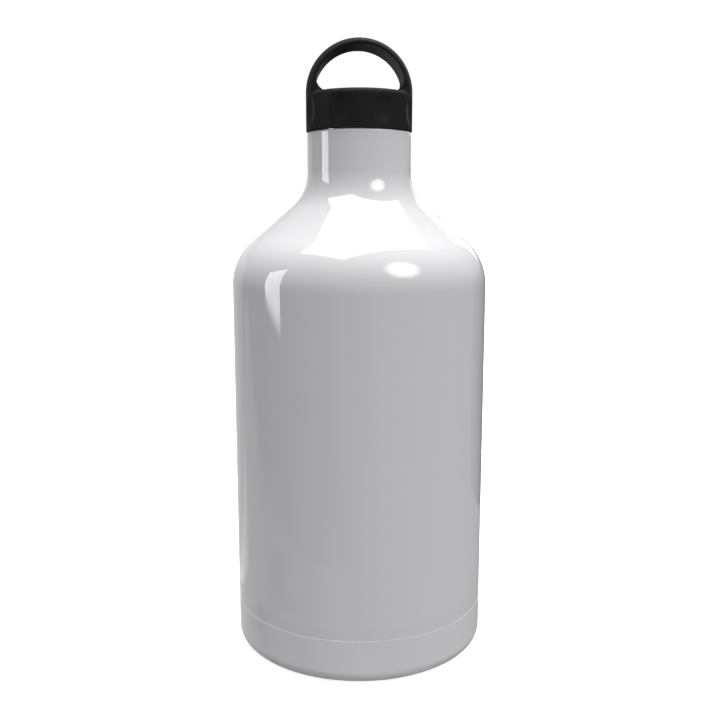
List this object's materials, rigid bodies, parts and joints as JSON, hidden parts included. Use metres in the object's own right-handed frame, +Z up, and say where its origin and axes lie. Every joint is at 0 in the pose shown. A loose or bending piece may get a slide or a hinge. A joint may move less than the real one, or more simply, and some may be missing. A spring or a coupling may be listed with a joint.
{
  "type": "insulated growler",
  "caption": "Double-wall vacuum-insulated steel growler with a sloping shoulder, short neck and a screw cap that has a fixed carrying loop.",
  "frame": {"origin": "centre of the foot ring, on the surface that the bottle stands on", "axes": "+Z up along the bottle's axis; the cap's loop spans X and the front of the bottle faces -Y"},
  "size_m": [0.123, 0.123, 0.294],
  "materials": {
    "white_coat": "gloss white coat over steel",
    "bare_steel": "brushed stainless steel",
    "foil": "thin bright copper foil",
    "getter": "dull sintered grey metal",
    "solder_glass": "opaque grey sealing glass",
    "silicone": "matte translucent white silicone",
    "black_moulding": "satin black moulded polypropylene",
    "foam": "closed-cell insulating foam"
  },
  "bodies": {
    "bottle": {"outer_shell": "white_coat", "base_cup": "white_coat", "base_disc": "bare_steel", "vacuum_seal": "solder_glass", "inner_liner": "bare_steel", "liner_base": "bare_steel", "neck_ring": "bare_steel", "reflector_foil": "foil", "getter_pellet": "getter", "getter_clip": "bare_steel"},
    "seal": {"mouth_gasket": "silicone"},
    "cap": {"loop_cap": "black_moulding", "thread_insert": "black_moulding", "plug_cup": "black_moulding", "plug_foam": "foam"}
  },
  "joints": [
    {"name": "cap_lift", "type": "slide", "parent": "bottle", "child": "seal", "axis": [0, 0, 1], "range_m": [0, 0.0077]},
    {"name": "cap_turn", "type": "hinge", "parent": "seal", "child": "cap", "pos_m": [0, 0, 0.26], "axis": [0, 0, 1], "range_deg": [0, 690]}
  ],
  "couplings": [
    {"joint": "cap_lift", "follows": "cap_turn", "m_per_rad": 0.00063662}
  ]
}
